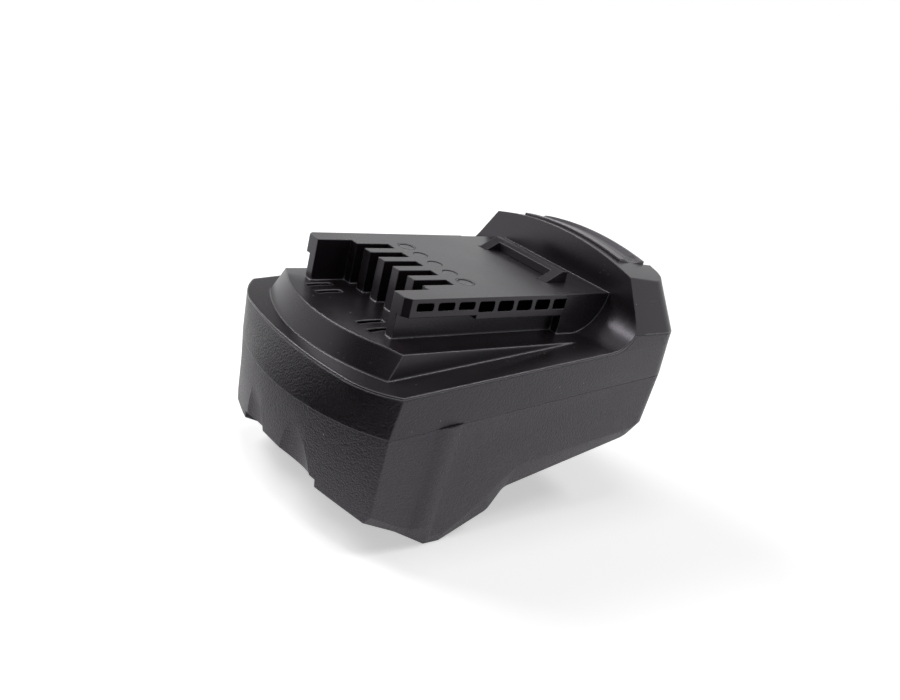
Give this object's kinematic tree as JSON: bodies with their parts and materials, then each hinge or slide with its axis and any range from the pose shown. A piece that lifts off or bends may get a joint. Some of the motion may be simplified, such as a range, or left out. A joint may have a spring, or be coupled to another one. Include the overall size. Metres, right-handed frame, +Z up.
{
  "type": "power tool battery",
  "caption": "Black slide-on battery pack for cordless tools, with railed deck, slotted connector, ramped catch and a push button that releases it.",
  "frame": {"origin": "centre of the bounding box's bottom, under the belly, the pack's lowest flat", "axes": "+Y runs from the connector's mouth towards the release button, along the rails; +Z is up, square to the deck; +X runs across, to the right when the connector faces the viewer"},
  "size_m": [0.088, 0.131, 0.0893],
  "materials": {
    "cover_plastic": "satin black moulded plastic",
    "belt_plastic": "fine spark texture, black",
    "case_plastic": "fine spark texture, black",
    "button_plastic": "satin black with a finely textured grip band",
    "catch_plastic": "smooth black",
    "spring_steel": "drawn wire",
    "inner_plastic": "plain black",
    "cell_wrap": "shrink sleeve",
    "nickel": "plated strip",
    "contact_metal": "plated copper alloy",
    "insulation": "thin sheet",
    "foam": "closed-cell foam",
    "board": "lacquered laminate",
    "component_black": "moulded packages",
    "screw_steel": "zinc plated"
  },
  "bodies": {
    "pack": {"top_cover": "cover_plastic", "middle_housing": "belt_plastic", "lower_housing": "case_plastic", "left_spring": "spring_steel", "right_spring": "spring_steel", "spring_seat": "inner_plastic", "left_carrier": "inner_plastic", "right_carrier": "inner_plastic", "terminal_holder": "inner_plastic", "cell_01": "cell_wrap", "cell_02": "cell_wrap", "cell_03": "cell_wrap", "cell_04": "cell_wrap", "cell_05": "cell_wrap", "cell_06": "cell_wrap", "cell_07": "cell_wrap", "cell_08": "cell_wrap", "cell_09": "cell_wrap", "cell_10": "cell_wrap", "left_strips": "nickel", "right_strips": "nickel", "positive_busbar": "nickel", "negative_busbar": "nickel", "positive_contact": "contact_metal", "negative_contact": "contact_metal", "signal_contacts": "contact_metal", "left_insulator": "insulation", "right_insulator": "insulation", "thermistor": "insulation", "belly_foam": "foam", "control_board": "board", "board_components": "component_black", "housing_screws": "screw_steel", "board_screws": "screw_steel"},
    "latch": {"release_button": "button_plastic", "latch_catch": "catch_plastic", "latch_bracket": "catch_plastic"}
  },
  "joints": [
    {"name": "latch_slide", "type": "slide", "parent": "pack", "child": "latch", "axis": [0, 0, 1], "range_m": [-0.0045, 0], "stiffness_N_per_m": 1500, "springref_m": 0.003, "deforming": ["left_spring", "right_spring"]}
  ]
}
